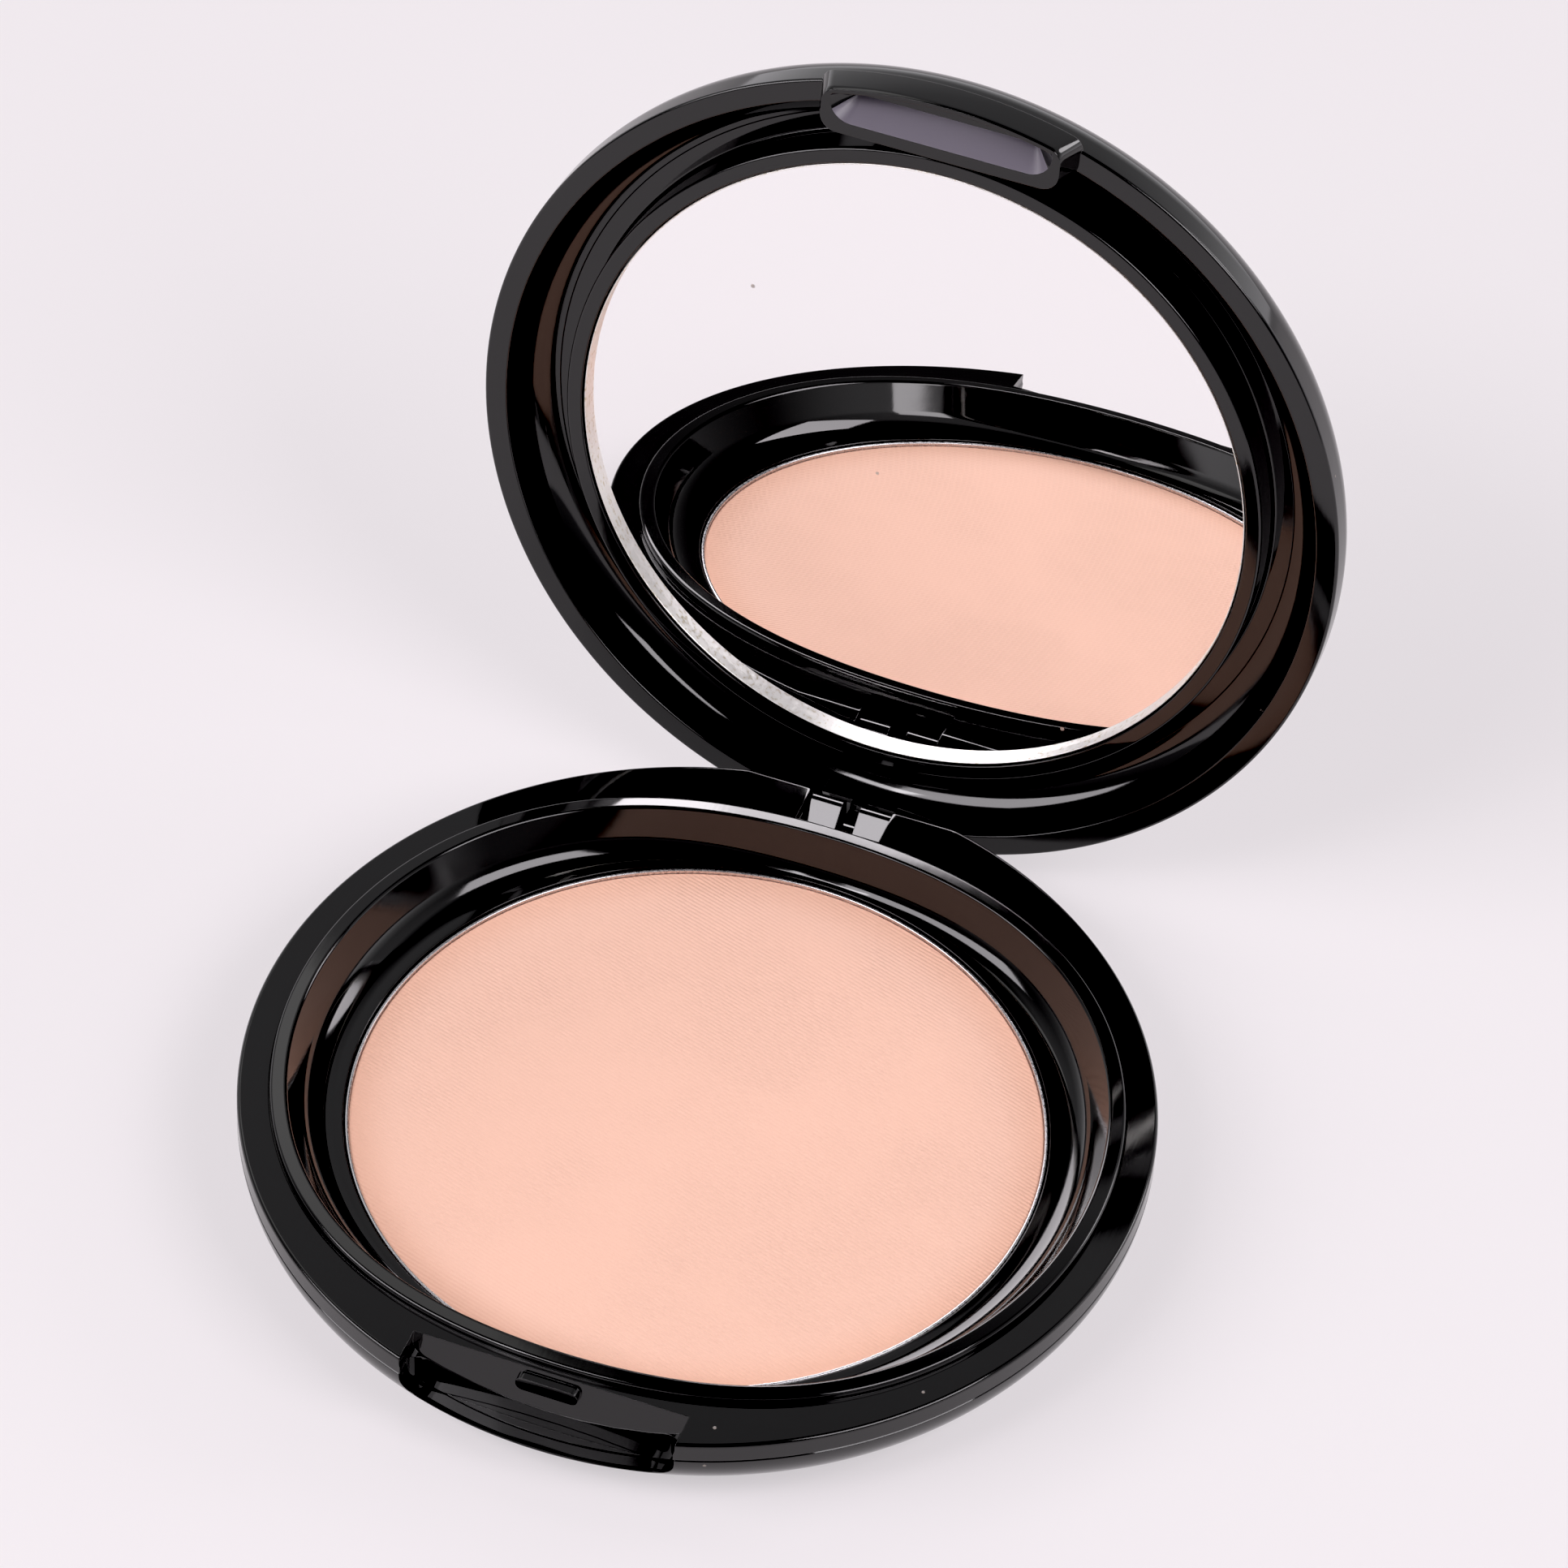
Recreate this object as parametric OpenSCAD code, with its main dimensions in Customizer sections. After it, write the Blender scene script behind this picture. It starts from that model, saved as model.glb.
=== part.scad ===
// Round pressed-powder compact, shown open: a two-part base that holds the powder pan,
// and a lid with a mirror that swings on a steel pin at the back.
// The origin is the centre of the flat underside, +Z is up and the thumb notch faces -Y.

/* [Base] */
// Outside diameter of the base
base_d = 77; // [73:0.5:92]
// Height of the base from the underside to the flat rim
base_h = 9.1; // [8.8:0.1:12]
// Height of the straight band under the rim
base_band_h = 1.9; // [1.2:0.1:3]
// Diameter of the flat underside
foot_d = 54; // [46:0.5:60]
// Wall thickness of the base mouldings
base_wall = 1.2; // [0.9:0.1:1.5]
// Floor thickness of the lower moulding
bowl_floor_t = 1.0; // [0.8:0.1:1.3]

/* [Powder well] */
// Outside diameter of the aluminium pan
pan_d = 59; // [48:0.5:59.5]
// Height of the pan
pan_h = 3.6; // [2.6:0.1:3.8]
// Sheet thickness of the pan
pan_t = 0.3; // [0.2:0.05:0.4]
// Width of the flat ring between the pan and the well wall
seat_ring_w = 1.9; // [1:0.1:2]
// Radius of the raised rib around the well, at the sides
rib_side_r = 35.8; // [35.5:0.1:36]
// How much the rib flattens towards the front and the back
rib_flat = 2.95; // [2.5:0.05:3.1]
// Height of the rib above the flat rim
rib_h = 0.8; // [0.4:0.1:1.2]
// Width of the rib, from its outer face to the lip of the well
rib_w = 1.4; // [1:0.1:1.5]
// Thickness of the adhesive under the pan
pan_glue_t = 0.25; // [0.1:0.05:0.4]

/* [Front notch and clasp] */
// Half width of the thumb notch
notch_half_w = 12; // [9:0.5:14]
// Distance from the compact's centre to the flat wall of the notch
notch_wall_y = 33.35; // [33.2:0.05:34]
// Depth of the notch floor below the flat rim
notch_depth = 4.6; // [4:0.1:5]
// Depth of the front lip below the flat rim
lip_depth = 3.8; // [3:0.1:4.2]
// Half width of the catch nub
nub_half_w = 2.7; // [1.5:0.1:4]
// Height of the catch nub
nub_h = 1.4; // [1:0.1:1.8]
// How far the catch nub stands out of the notch wall
nub_out = 0.4; // [0.2:0.05:0.5]
// How far the clasp tab reaches below the flat rim of the base
tab_reach = 2.4; // [2:0.1:3]
// How far the clasp tab stands proud of the lid's side
tab_proud = 0.8; // [0.2:0.1:1]

/* [Lid] */
// Outside diameter of the lid
lid_d = 76.4; // [72.4:0.5:91.4]
// Height of the straight band at the lid's rim
lid_band_h = 1.9; // [1.2:0.1:3]
// Height of the rounded part of the lid
lid_round_h = 6.5; // [6:0.1:8]
// Diameter of the flat top of the lid, inside its rounded edge
crown_d = 54.4; // [44:0.5:60]
// Extra height of the gently domed top
crown_rise = 0.5; // [0:0.1:1.5]
// Width of the lid's flat rim
lid_rim_w = 2.0; // [1.6:0.1:2.2]
// Gap between the two rims when the compact is shut
rim_gap = 0.3; // [0.2:0.05:0.6]

/* [Mirror] */
// Diameter of the mirror
mirror_d = 59.2; // [48:0.5:60]
// Thickness of the mirror glass
mirror_t = 1.2; // [0.8:0.1:1.4]
// Height of the mirror face above the base's rim when the compact is shut
mirror_lift = 1.6; // [1.4:0.1:2]
// Thickness of the adhesive pad behind the mirror
mirror_glue_t = 0.3; // [0.1:0.05:0.4]
// Width of the ledge around the mirror
ledge_w = 1.4; // [1:0.1:2]
// Depth of the channel around the mirror ledge
channel_depth = 3.4; // [2.8:0.1:3.6]

/* [Hinge] */
// Distance of the pin from the edge of the base
pin_inset = 2.5; // [2.3:0.1:2.7]
// Depth of the pin below the flat rim of the base
pin_depth = 4.2; // [4:0.1:4.3]
// Diameter of the steel pin
pin_d = 1.2; // [1:0.1:1.5]
// Half width of the opening in the base for the hinge
gap_half_w = 3.8; // [3.4:0.1:5]
// Width of each base knuckle
knuckle_w = 2.4; // [1.8:0.1:2.5]
// Radius of the knuckles
knuckle_r = 2.2; // [1.8:0.1:2.3]
// Width of the lid's tongue between the two knuckles
tongue_w = 1.4; // [1:0.1:1.6]
// Angle of the lid from shut
open_angle = 99; // [0:1:99]

/* [Label] */
// Diameter of the blank label on the underside
label_d = 40; // [20:1:42]
// Thickness of the label, which lies flush in its recess
label_t = 0.2; // [0.1:0.05:0.3]

/* [Clearances] */
// Side clearance where two mouldings pass each other
side_gap = 0.1; // [0.05:0.05:0.2]
// Radial clearance between the pin and the lid's tongue
pin_gap = 0.05; // [0.02:0.01:0.1]
// Radial clearance around the pan, the mirror and their adhesive
seat_gap = 0.15; // [0.05:0.05:0.3]
// Clearance around the clasp tab in the notch
tab_gap = 0.3; // [0.2:0.05:0.4]
// Clearance between the swinging lid and the back of the base
swing_gap = 0.2; // [0.15:0.05:0.3]

/* [Hidden] */
$fn = 96;

// Base levels and radii
base_r = base_d / 2;
foot_r = foot_d / 2;
seam_z = base_h - base_band_h;          // where the deck sits on the bowl
bowl_side_w = base_r - foot_r;          // width of the rounded side
pan_r = pan_d / 2;
deck_floor_z = bowl_floor_t;            // underside of the deck's floor
deck_floor_t = 0.8;
pan_z = deck_floor_z + deck_floor_t + pan_glue_t;
pan_top_z = pan_z + pan_h;
seat_ring_z = pan_top_z + seat_gap;     // flat ring around the pan
seat_ring_r = pan_r + seat_ring_w;
seat_ring_flat = 0.65 * seat_ring_w;    // the ring narrows towards the front and the back
lip_side_r = rib_side_r - rib_w;
notch_floor_z = base_h - notch_depth;
notch_lip_z = base_h - lip_depth;
nub_top_z = base_h - 0.45;

// Hinge axis, in the shut position
pin_y = base_r - pin_inset;
pin_z = base_h - pin_depth;
pin_r = pin_d / 2;
slot_half_w = tongue_w / 2 + side_gap;  // half the space between the knuckles
knuckle_end = slot_half_w + knuckle_w;
boss_half_w = gap_half_w - 2.5 * side_gap;
boss_z = pin_z + knuckle_r + 1.5 * swing_gap;
boss_back_y = base_r - 0.5;
gap_floor_z = 2.1;                      // the lid's boss stops just above this
gap_wall_y = rib_side_r - rib_flat + 0.5;

// Lid levels and radii, in the shut position
lid_r = lid_d / 2;
lid_z = base_h + rim_gap;
lid_round_z = lid_z + lid_band_h;
lid_side_w = lid_r - crown_d / 2;
crown_z = lid_round_z + lid_round_h;
lid_well_r = lid_r - lid_rim_w;
mirror_r = mirror_d / 2;
mirror_z = base_h + mirror_lift;
ledge_z = mirror_z - 0.2;               // the ledge stands a little proud of the glass
ledge_r = mirror_r + seat_gap + ledge_w;
channel_z = ledge_z + channel_depth;
flange_t = 1.0;
channel_round_w = 3.2;                  // rounding between the lid's side and the channel
channel_round_h = 2.9;
flange_r = lid_well_r - channel_round_w;
flange_gap = 0.05;
lid_wall = 1.2;
frame_plate_z = mirror_z + mirror_t + mirror_glue_t;
frame_back_z = channel_z + flange_t;

// Clasp tab
tab_r = lid_r + tab_proud;
tab_z = base_h - tab_reach;
tab_half_w = notch_half_w - 2 * tab_gap;
tab_wall_y = notch_wall_y + tab_gap;

ARC_STEPS = 10;

// Points of an elliptical quarter that starts upright at [r, z] and ends flat,
// w further in and h further along z (h may be negative)
function quarter(r, z, w, h) =
    [for (i = [0:ARC_STEPS]) let (a = 90 * i / ARC_STEPS)
        [r - w * (1 - cos(a)), z + h * sin(a)]];

// Outline of the well: round at the sides and flatter towards the front and the back
function well_outline(inset) =
    [for (a = [0:3.75:359]) let (r = rib_side_r - inset - rib_flat * pow(abs(sin(a)), 5))
        [r * cos(a), r * sin(a)]];

// Outline part-way from the lip of the well to the outer edge of the seat ring
function well_ring(t) =
    [for (p = well_outline(rib_w))
        let (r = norm(p), ring_r = seat_ring_r - seat_ring_flat * pow(abs(p.y) / r, 5),
             s = (r + t * (ring_r - r)) / r)
        [p.x * s, p.y * s]];

// Solid through a stack of outlines that all have the same number of points
module loft(rings, heights) {
    n = len(rings[0]);
    last = len(rings) - 1;
    points = [for (k = [0:last]) for (p = rings[k]) [p.x, p.y, heights[k]]];
    sides = [for (k = [0:last - 1]) for (i = [0:n - 1]) for (half = [0, 1])
        let (j = (i + 1) % n, a = k * n + i, b = k * n + j)
        half == 0 ? [b, a, a + n] : [b, a + n, b + n]];
    polyhedron(points = points, convexity = 4, faces = concat(
        [[for (i = [0:n - 1]) i]], sides, [[for (i = [n - 1:-1:0]) last * n + i]]));
}

// Height of the bowl's inner surface at radius r
function bowl_inner_z(r) = let (c = 1 - (base_r - base_wall - r) / (bowl_side_w - base_wall))
    seam_z - (seam_z - bowl_floor_t) * sqrt(max(0, 1 - c * c));

// The clear space of the powder well: upright at the lip, flat at the seat ring
module well_space() {
    steps = 5;
    drop = base_h - seat_ring_z;
    bowl = [for (i = [0:steps]) 90 * i / steps];
    loft([for (a = [for (i = [steps:-1:0]) bowl[i]]) well_ring(1 - cos(a)),
          well_ring(0)],
         concat([for (i = [steps:-1:0]) base_h - drop * sin(bowl[i])], [base_h + rib_h + 1]));
    translate([0, 0, pan_z - pan_glue_t]) cylinder(r = pan_r + seat_gap, h = base_h);
}

// A bar along X, centred on X = 0
module bar(half_w, y0, y1, z0, z1) {
    translate([-half_w, y0, z0]) cube([2 * half_w, y1 - y0, z1 - z0]);
}

// A round bar along X at the hinge axis
module hinge_round(r, half_w) {
    translate([-half_w, pin_y, pin_z]) rotate([0, 90, 0]) cylinder(r = r, h = 2 * half_w);
}

// Opening at the back of the base for the hinge and the lid's boss
module hinge_gap() {
    bar(gap_half_w, gap_wall_y, base_r + 1, gap_floor_z, base_h + 1);
}

// Everything behind the hinge axis that the swinging lid's rim would touch
module swing_relief() {
    difference() {
        bar(base_r, pin_y, base_r + 1, pin_z, base_h + 1);
        hinge_round(pin_depth + rim_gap - swing_gap + 0.02, base_r + 1);
    }
}

// Lower moulding: rounded bowl that forms the underside and the sides
module base_bowl() color("#141416") {
    inner = quarter(base_r - base_wall, seam_z, bowl_side_w - base_wall, bowl_floor_t - seam_z);
    difference() {
        rotate_extrude() difference() {
            polygon(concat([[0, 0], [0, seam_z]],
                           quarter(base_r, seam_z, bowl_side_w, -seam_z)));
            polygon(concat([[0, bowl_floor_t], [0, seam_z + 1],
                            [base_r - base_wall, seam_z + 1]], inner));
        }
        bar(notch_half_w, -base_r - 1, -notch_wall_y, notch_lip_z, base_h);
        hinge_gap();
        swing_relief();
        translate([0, 0, -1]) cylinder(d = label_d + 2 * seat_gap, h = 1 + label_t);
    }
}

// Upper moulding: flat rim, powder well, notch walls and the base's half of the hinge
module base_deck() color("#17171a") {
    skirt_r = base_r - base_wall;
    cup_r = seat_ring_r + base_wall;
    heel_r = pan_r + seat_gap + 1;
    difference() {
        union() {
            difference() {
                union() {
                    rotate_extrude() polygon([
                        [0, deck_floor_z], [foot_r - 0.5, deck_floor_z],
                        [heel_r, bowl_inner_z(heel_r) + side_gap],
                        [heel_r, seat_ring_z - base_wall],
                        [cup_r - 0.6, seat_ring_z - base_wall],
                        [rib_side_r, base_h - base_wall], [skirt_r, base_h - base_wall],
                        [skirt_r, seam_z], [base_r, seam_z], [base_r, base_h], [0, base_h]]);
                    notch_box();
                }
                bar(notch_half_w, -base_r - 1, -notch_wall_y, notch_floor_z, base_h + 1);
                hinge_gap();
            }
            translate([0, 0, base_h]) linear_extrude(rib_h) polygon(well_outline(0));
            catch_nub();
            knuckles();
        }
        well_space();
        hinge_round(pin_r, gap_half_w);
        swing_relief();
    }
}

// Box under the rim that encloses the thumb notch, inside the bowl's wall
module notch_box() {
    fit_r = base_r - base_wall - side_gap;
    intersection() {
        bar(notch_half_w + 1, -base_r, 1.05 - notch_wall_y, notch_floor_z - 1, base_h);
        rotate_extrude() polygon(concat(
            [[0, bowl_floor_t], [0, base_h], [fit_r, base_h]],
            quarter(fit_r, seam_z, bowl_side_w - base_wall, bowl_floor_t - seam_z)));
    }
}

// Small bar with round ends that the clasp snaps over
module catch_nub() {
    r = nub_h / 2;
    for (s = [-1, 1]) translate([s * (nub_half_w - r), 0.2 - notch_wall_y, nub_top_z - r])
        rotate([90, 0, 0]) cylinder(r = r, h = nub_out + 0.2);
    bar(nub_half_w - r, -notch_wall_y - nub_out, 0.2 - notch_wall_y, nub_top_z - nub_h, nub_top_z);
}

// The base's two knuckles, each on a web from the wall of the well
module knuckles() {
    for (s = [-1, 1]) translate([s * (slot_half_w + knuckle_w / 2), 0, 0]) {
        hinge_round(knuckle_r, knuckle_w / 2);
        bar(knuckle_w / 2, gap_wall_y - 0.5, pin_y, pin_z - knuckle_r / 2, pin_z + knuckle_r);
    }
}

// Aluminium pan that the powder is pressed into
module powder_pan() color("#c9cacc") {
    translate([0, 0, pan_z]) difference() {
        cylinder(r = pan_r, h = pan_h);
        translate([0, 0, pan_t]) cylinder(r = pan_r - pan_t, h = pan_h);
    }
}

// Adhesive disc under the pan
module pan_adhesive() color("#d8d2c4") {
    translate([0, 0, pan_z - pan_glue_t]) cylinder(r = pan_r - 3, h = pan_glue_t);
}

// Pressed powder, a little crowned and just under the pan's edge
module pressed_powder() color("#f0c1ac") {
    r = pan_r - pan_t - 0.02;
    top = pan_h - pan_t - 0.15;
    crown = 0.25;
    translate([0, 0, pan_z + pan_t]) rotate_extrude()
        polygon(concat([[0, 0], [r, 0]],
            [for (i = [0:6]) let (x = r * (1 - i / 6)) [x, top - crown * pow(x / r, 4)]]));
}

// Places the shut lid at its opening angle
module on_hinge() {
    translate([0, pin_y, pin_z]) rotate([-open_angle, 0, 0]) translate([0, -pin_y, -pin_z])
        children();
}

// Lid: outer shell with the clasp tab, the hinge boss and the tongue
module lid_shell() color("#141416") {
    seat_r = flange_r - 1.5;
    on_hinge() difference() {
        union() {
            rotate_extrude() polygon(concat(
                [[lid_well_r, lid_z], [lid_r, lid_z]],
                quarter(lid_r, lid_round_z, lid_side_w, lid_round_h),
                [[crown_d / 4, crown_z + 0.75 * crown_rise], [0, crown_z + crown_rise],
                 [0, crown_z - lid_wall], [crown_d / 2, crown_z - lid_wall],
                 [seat_r, frame_back_z + 0.3], [seat_r, frame_back_z],
                 [flange_r + flange_gap, frame_back_z]],
                channel_rounding()));
            clasp_tab();
            hinge_boss();
        }
        hinge_round(pin_r + pin_gap, gap_half_w);
    }
}

// Rounding between the lid's side wall and the channel, from the channel outwards
function channel_rounding() =
    let (arc = quarter(lid_well_r, channel_z - channel_round_h,
                       channel_round_w - flange_gap, channel_round_h))
    [for (i = [ARC_STEPS:-1:0]) arc[i]];

// Clasp: a round segment under the lid's rim with a finger scoop in its end
module clasp_tab() {
    scoop_depth = 1.5;
    difference() {
        intersection() {
            bar(tab_half_w, -tab_r - 1, -tab_wall_y, tab_z, lid_z + 1);
            union() {
                cylinder(r = tab_r, h = lid_z + 0.2);
                cylinder(r = lid_r, h = lid_z + 1);
            }
        }
        intersection() {
            bar(tab_half_w - 1.2, -tab_r, -tab_wall_y - 1.1, tab_z - 1, tab_z + scoop_depth);
            cylinder(r = tab_r - 0.45, h = lid_z);
        }
        // relief for the catch nub
        bar(nub_half_w + 0.4, -tab_wall_y - nub_out + tab_gap - 0.15, 1 - tab_wall_y,
            nub_top_z - nub_h - 0.15, lid_z + 0.1);
    }
}

// Boss that fills the opening in the base, and the tongue that runs on the pin
module hinge_boss() {
    bar(boss_half_w, gap_wall_y + 0.3, lid_well_r + 0.5, boss_z, lid_z + 1);
    bar(boss_half_w, gap_wall_y + 0.3, boss_back_y, boss_z, lid_z);
    hinge_round(knuckle_r - 0.2, tongue_w / 2);
    bar(tongue_w / 2, pin_y - knuckle_r + 0.4, pin_y + knuckle_r - 0.4, pin_z, boss_z + 0.1);
}

// Frame that carries the mirror: raised ledge, plate behind the glass and outer flange
module mirror_frame() color("#19191c") {
    on_hinge() rotate_extrude() polygon([
        [0, frame_plate_z], [mirror_r + seat_gap, frame_plate_z],
        [mirror_r + seat_gap, ledge_z], [ledge_r, ledge_z], [ledge_r, channel_z],
        [flange_r, channel_z], [flange_r, frame_back_z], [ledge_r - 1, frame_back_z],
        [ledge_r - 1, frame_plate_z + 1], [0, frame_plate_z + 1]]);
}

// Adhesive pad between the frame and the mirror
module mirror_adhesive() color("#e2e0da") {
    on_hinge() translate([0, 0, mirror_z + mirror_t]) cylinder(r = mirror_r - 2, h = mirror_glue_t);
}

// Round mirror with a small ground edge
module mirror_glass() color("#c8d0d4") {
    edge = 0.25;
    on_hinge() rotate_extrude() polygon([
        [0, mirror_z], [mirror_r - edge, mirror_z], [mirror_r, mirror_z + edge],
        [mirror_r, mirror_z + mirror_t], [0, mirror_z + mirror_t]]);
}

// Steel hinge pin, pressed into the base's knuckles
module hinge_pin() color("#b9bcc0") {
    hinge_round(pin_r, knuckle_end);
}

// Blank label, flush with the underside
module underside_label() color("#e9e7e2") {
    cylinder(d = label_d, h = label_t);
}

base_bowl();
base_deck();
powder_pan();
pan_adhesive();
pressed_powder();
lid_shell();
mirror_frame();
mirror_adhesive();
mirror_glass();
hinge_pin();
underside_label();
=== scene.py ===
"""Pressed powder compact: glossy black case, powder in an aluminium pan, and a lid with a mirror.

Sizes are in millimetres until a piece is finished, when it is scaled to metres in the shared frame.
The lid's pieces are built as if the compact were shut and are then swung open about the pin.
"""
import math

import bmesh
import bpy
from mathutils import Matrix, Vector


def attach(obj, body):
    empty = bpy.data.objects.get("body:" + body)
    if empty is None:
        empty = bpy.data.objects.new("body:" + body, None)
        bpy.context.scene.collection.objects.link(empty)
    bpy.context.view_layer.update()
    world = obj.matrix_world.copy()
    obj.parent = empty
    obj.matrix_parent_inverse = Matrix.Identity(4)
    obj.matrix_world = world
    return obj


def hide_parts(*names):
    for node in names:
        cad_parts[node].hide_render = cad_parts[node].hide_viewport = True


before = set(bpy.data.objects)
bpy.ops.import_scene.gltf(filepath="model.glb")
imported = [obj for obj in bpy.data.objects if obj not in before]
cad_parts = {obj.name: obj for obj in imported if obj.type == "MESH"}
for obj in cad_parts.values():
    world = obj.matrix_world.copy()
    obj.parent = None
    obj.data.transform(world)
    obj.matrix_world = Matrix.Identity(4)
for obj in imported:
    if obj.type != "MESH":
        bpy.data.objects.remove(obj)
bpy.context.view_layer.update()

MM = 0.001
TURN = 2 * math.pi
STEPS = 288  # steps round a turned piece

# Base
BASE_R = 38.5
RIM_Z = 9.1
SEAM_Z = 7.2
FOOT_R = 27.0
WALL = 1.2  # the bowl's, the deck's and the lid's
FLOOR_Z = 1.0
RIB_R = 35.8
RIB_FLAT = 2.95
LIP_R = 34.4
RING_R = 31.4
RING_Z = 5.8
PAN_R = 29.5
PAN_Z = 2.05
PAN_TOP = 5.65
PAN_GLUE = 0.25
LABEL_R = 20.0

# Thumb notch
NOTCH_HALF = 12.0
NOTCH_Y = -33.35
NOTCH_FLOOR = 3.7
NOTCH_LIP = 4.5
NOTCH_CORNER = 2.2

# Hinge, in the shut position
HINGE_Y = 36.0
HINGE_Z = 4.9
PIN_R = 0.6
GAP_HALF = 3.8
GAP_FLOOR = 2.1
GAP_WALL_Y = 33.35
BOSS_HALF = 3.55
KNUCKLE_R = 2.2
SLOT_HALF = 0.8
KNUCKLE_END = 3.62
TONGUE_HALF = 0.7
OPEN_ANGLE = 99.0

# Lid, in the shut position
LID_R = 38.2
LID_Z = 9.4
LID_ROUND_Z = 11.3
CROWN_R = 27.2
CROWN_Z = 17.8
CROWN_RISE = 0.5
WELL_R = 36.2
WELL_ROUND_Z = 11.0
CHANNEL_R = 33.0
CHANNEL_Z = 13.9
LEDGE_R = 31.15
LEDGE_Z = 10.5
MIRROR_R = 29.6
MIRROR_Z = 10.7
SILVER_DEPTH = 1.0
TAB_R = 39.0
TAB_Z = 6.7
TAB_Y = -33.65
TAB_HALF = 11.4

# Cutters run past the shut base's outside and above its rim
OUTSIDE = 41.0
ABOVE = 14.0


# --- Shapes ---------------------------------------------------------------------------------------

def rounded(corners, closed=True, steps=6):
    """Corners (x, y) or (x, y, radius) as points, with each given radius turned into an arc."""
    points = []
    for i, (x, y, *radius) in enumerate(corners):
        corner = Vector((x, y))
        if not radius or (not closed and i in (0, len(corners) - 1)):
            points.append(corner)
            continue
        back = (Vector(corners[i - 1][:2]) - corner).normalized()
        ahead = (Vector(corners[(i + 1) % len(corners)][:2]) - corner).normalized()
        half = back.angle(ahead) / 2
        centre = corner + (back + ahead).normalized() * radius[0] / math.sin(half)
        start = corner + back * radius[0] / math.tan(half) - centre
        end = corner + ahead * radius[0] / math.tan(half) - centre
        sweep = math.atan2(start.x * end.y - start.y * end.x, start.dot(end))
        for k in range(steps + 1):
            points.append(centre + Matrix.Rotation(sweep * k / steps, 2) @ start)
    return points


def quarter(r, z, width, height, steps=16):
    """Quarter of an ellipse that starts upright at (r, z) and ends level, width further in."""
    angles = [math.pi / 2 * k / steps for k in range(steps + 1)]
    return [(r - width * (1 - math.cos(a)), z + height * math.sin(a)) for a in angles]


def turned(profile, closed=True):
    """Solid of revolution about Z from points (radius, height)."""
    bm = bmesh.new()
    verts = [bm.verts.new((p[0], 0, p[1])) for p in profile]
    edges = [bm.edges.new(pair) for pair in zip(verts, verts[1:])]
    if closed:
        edges.append(bm.edges.new((verts[-1], verts[0])))
    bmesh.ops.spin(bm, geom=verts + edges, axis=(0, 0, 1), cent=(0, 0, 0), angle=TURN,
                   steps=STEPS, use_merge=True)
    bmesh.ops.remove_doubles(bm, verts=bm.verts, dist=1e-4)
    bmesh.ops.recalc_face_normals(bm, faces=bm.faces)
    return bm


def slab(outline, low, high, plane="XY"):
    """Outline in a plane, extruded from low to high along the plane's third axis."""
    place = {
        "XY": lambda u, v: (u, v, low),
        "XZ": lambda u, v: (u, low, v),
        "YZ": lambda u, v: (low, u, v),
    }[plane]
    along = {"XY": (0, 0, 1), "XZ": (0, 1, 0), "YZ": (1, 0, 0)}[plane]
    bm = bmesh.new()
    face = bm.faces.new([bm.verts.new(place(*p)) for p in outline])
    grown = bmesh.ops.extrude_face_region(bm, geom=[face])["geom"]
    moved = [g for g in grown if isinstance(g, bmesh.types.BMVert)]
    bmesh.ops.translate(bm, verts=moved, vec=Vector(along) * (high - low))
    bmesh.ops.recalc_face_normals(bm, faces=bm.faces)
    return bm


def loft(outlines, heights):
    """Solid through outlines in XY that have the same number of points, at the given heights."""
    bm = bmesh.new()
    loops = []
    for outline, z in zip(outlines, heights):
        verts = [bm.verts.new((x, y, z)) for x, y in outline]
        loops.append([bm.edges.new((a, b)) for a, b in zip(verts, verts[1:] + verts[:1])])
    for low, high in zip(loops, loops[1:]):
        bmesh.ops.bridge_loops(bm, edges=low + high)
    bmesh.ops.holes_fill(bm, edges=loops[0] + loops[-1], sides=0)
    bmesh.ops.recalc_face_normals(bm, faces=bm.faces)
    return bm


def quarter_turn(bm, axis):
    """Turns a shape by 90 degrees about an axis through the origin."""
    bmesh.ops.rotate(bm, verts=bm.verts, cent=(0, 0, 0),
                     matrix=Matrix.Rotation(math.pi / 2, 3, axis))


def bar_x(r, half_width, steps=48):
    """Round bar on the hinge's axis, centred on X = 0."""
    bm = bmesh.new()
    bmesh.ops.create_cone(bm, cap_ends=True, segments=steps, radius1=r, radius2=r,
                          depth=2 * half_width)
    quarter_turn(bm, "Y")
    bmesh.ops.translate(bm, verts=bm.verts, vec=(0, HINGE_Y, HINGE_Z))
    return bm


def box(x0, x1, y0, y1, z0, z1):
    """Block between two corners."""
    return slab([(x0, y0), (x1, y0), (x1, y1), (x0, y1)], z0, z1)


def piece(name, bm):
    """A new object from a bmesh, still in millimetres."""
    mesh = bpy.data.meshes.new(name)
    bm.to_mesh(mesh)
    bm.free()
    made = bpy.data.objects.new(name, mesh)
    bpy.context.scene.collection.objects.link(made)
    return made


def settle(target):
    """Applies a piece's modifiers to its mesh."""
    graph = bpy.context.evaluated_depsgraph_get()
    mesh = bpy.data.meshes.new_from_object(target.evaluated_get(graph))
    target.modifiers.clear()
    old, target.data = target.data, mesh
    bpy.data.meshes.remove(old)


def carve(target, operation, *shapes):
    """Joins each shape to the target, cuts it away or keeps what they share."""
    for shape in shapes:
        tool = shape if isinstance(shape, bpy.types.Object) else piece("tool", shape)
        step = target.modifiers.new("step", "BOOLEAN")
        step.operation, step.solver, step.object = operation, "EXACT", tool
        settle(target)
        bpy.data.objects.remove(tool)
    return target


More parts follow.
